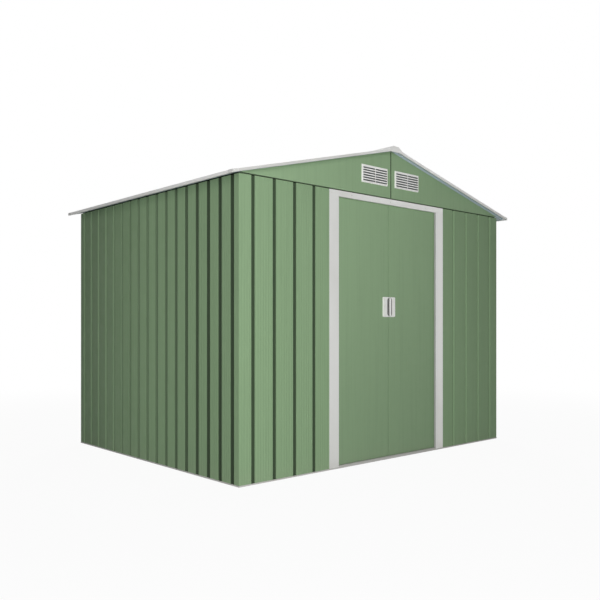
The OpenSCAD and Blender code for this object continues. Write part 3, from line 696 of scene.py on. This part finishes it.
def studio_floor():
    floor = Finish("pale_floor")
    path = floor.add("ShaderNodeLightPath").outputs
    mirrored = floor.larger(path["Is Glossy Ray"], path["Is Transmission Ray"])
    seen = floor.larger(path["Is Camera Ray"], mirrored)
    length = floor.add("ShaderNodeVectorMath", operation="LENGTH")
    floor.join(floor.place, length.inputs[0])
    far = floor.ramp(length.outputs["Value"], *FLOOR_FADE, FLOOR_WHITE, 1.0)
    x, y, z = floor.axes()
    outside = floor.larger(floor.above(floor.away(x), FACE_X - WALL_FOOT),
                           floor.above(floor.away(y), FACE_Y - WALL_FOOT))
    white = floor.add("ShaderNodeEmission")
    blend = floor.add("ShaderNodeMixShader")
    floor.join(floor.times(floor.times(seen, far), outside), blend.inputs[0])
    floor.look(floor.mixed(floor.cloud(size=0.9), FLOOR_GREY, FLOOR_PALE), FLOOR_ROUGHNESS)
    floor.join(floor.shader.outputs["BSDF"], blend.inputs[1])
    floor.join(white.outputs[0], blend.inputs[2])
    floor.join(blend.outputs[0], floor.surface)
    return floor.material


ground = bmesh.new()
ground.faces.new([ground.verts.new((sx * FLOOR_HALF, sy * FLOOR_HALF, -FLOOR_DROP))
                  for sx, sy in ((-1, -1), (1, -1), (1, 1), (-1, 1))])
ground_data = bpy.data.meshes.new("studio_floor")
ground.to_mesh(ground_data)
ground.free()
ground_data.materials.append(studio_floor())
floor_piece = bpy.data.objects.new("studio_floor", ground_data)
bpy.context.scene.collection.objects.link(floor_piece)


def soft_lamp(name, place, aim, size, power):
    lamp = bpy.data.lights.new(name, "AREA")
    lamp.shape = "DISK"
    lamp.size = size
    lamp.energy = power
    stand = bpy.data.objects.new(name, lamp)
    stand.location = place
    stand.rotation_euler = (Vector(aim) - Vector(place)).to_track_quat("-Z", "Y").to_euler()
    bpy.context.scene.collection.objects.link(stand)


soft_lamp("front_left_lamp", place=(-3.9, -4.90, 2.40), aim=(-0.6, -0.6, 0.9),
          size=2.2, power=90.0)
soft_lamp("low_fill_lamp", place=(-3.9, -4.90, 0.70), aim=(-0.6, -0.6, 0.9),
          size=1.2, power=176.0)
soft_lamp("back_right_lamp", place=(4.6, 5.2, 3.6), aim=(0.6, 0.6, 0.9),
          size=3.5, power=260.0)
soft_lamp("overhead_lamp", place=(0.0, 0.0, 4.6), aim=(0.0, 0.0, 0.0),
          size=2.4, power=40.0)

sky = bpy.data.worlds.new("pale_sky")
sky.use_nodes = True
air = sky.node_tree
air.nodes.clear()
ray = air.nodes.new("ShaderNodeLightPath").outputs
mirrored = air.nodes.new("ShaderNodeMath")
mirrored.operation = "MAXIMUM"
air.links.new(ray["Is Glossy Ray"], mirrored.inputs[0])
air.links.new(ray["Is Transmission Ray"], mirrored.inputs[1])
seen = air.nodes.new("ShaderNodeMath")
seen.operation = "MAXIMUM"
air.links.new(ray["Is Camera Ray"], seen.inputs[0])
air.links.new(mirrored.outputs[0], seen.inputs[1])
level = air.nodes.new("ShaderNodeMapRange")
air.links.new(seen.outputs[0], level.inputs["Value"])
level.inputs["To Min"].default_value = SKY_LIGHT
level.inputs["To Max"].default_value = SKY_SEEN
pale = air.nodes.new("ShaderNodeBackground")
pale.inputs["Color"].default_value = (1, 1, 1, 1)
air.links.new(level.outputs[0], pale.inputs["Strength"])
air.links.new(pale.outputs[0], air.nodes.new("ShaderNodeOutputWorld").inputs["Surface"])
bpy.context.scene.world = sky

# Camera: level, at chest height off the shed's front left corner, with a small rise of
# the lens so that the uprights stay parallel.
CAMERA_PLACE = (-3.5240, -4.0122, 0.8776)
CAMERA_TURN = -0.731
SENSOR_WIDTH = 36.0
LENS = 42.67
LENS_RISE = 0.0392
camera_data = bpy.data.cameras.new("photo_camera")
camera_data.sensor_width = SENSOR_WIDTH
camera_data.lens = LENS
camera_data.shift_y = LENS_RISE
camera = bpy.data.objects.new("photo_camera", camera_data)
camera.location = CAMERA_PLACE
camera.rotation_euler = (math.radians(90), 0, CAMERA_TURN)
bpy.context.scene.collection.objects.link(camera)
bpy.context.scene.camera = camera
bpy.context.scene.view_settings.view_transform = "Standard"
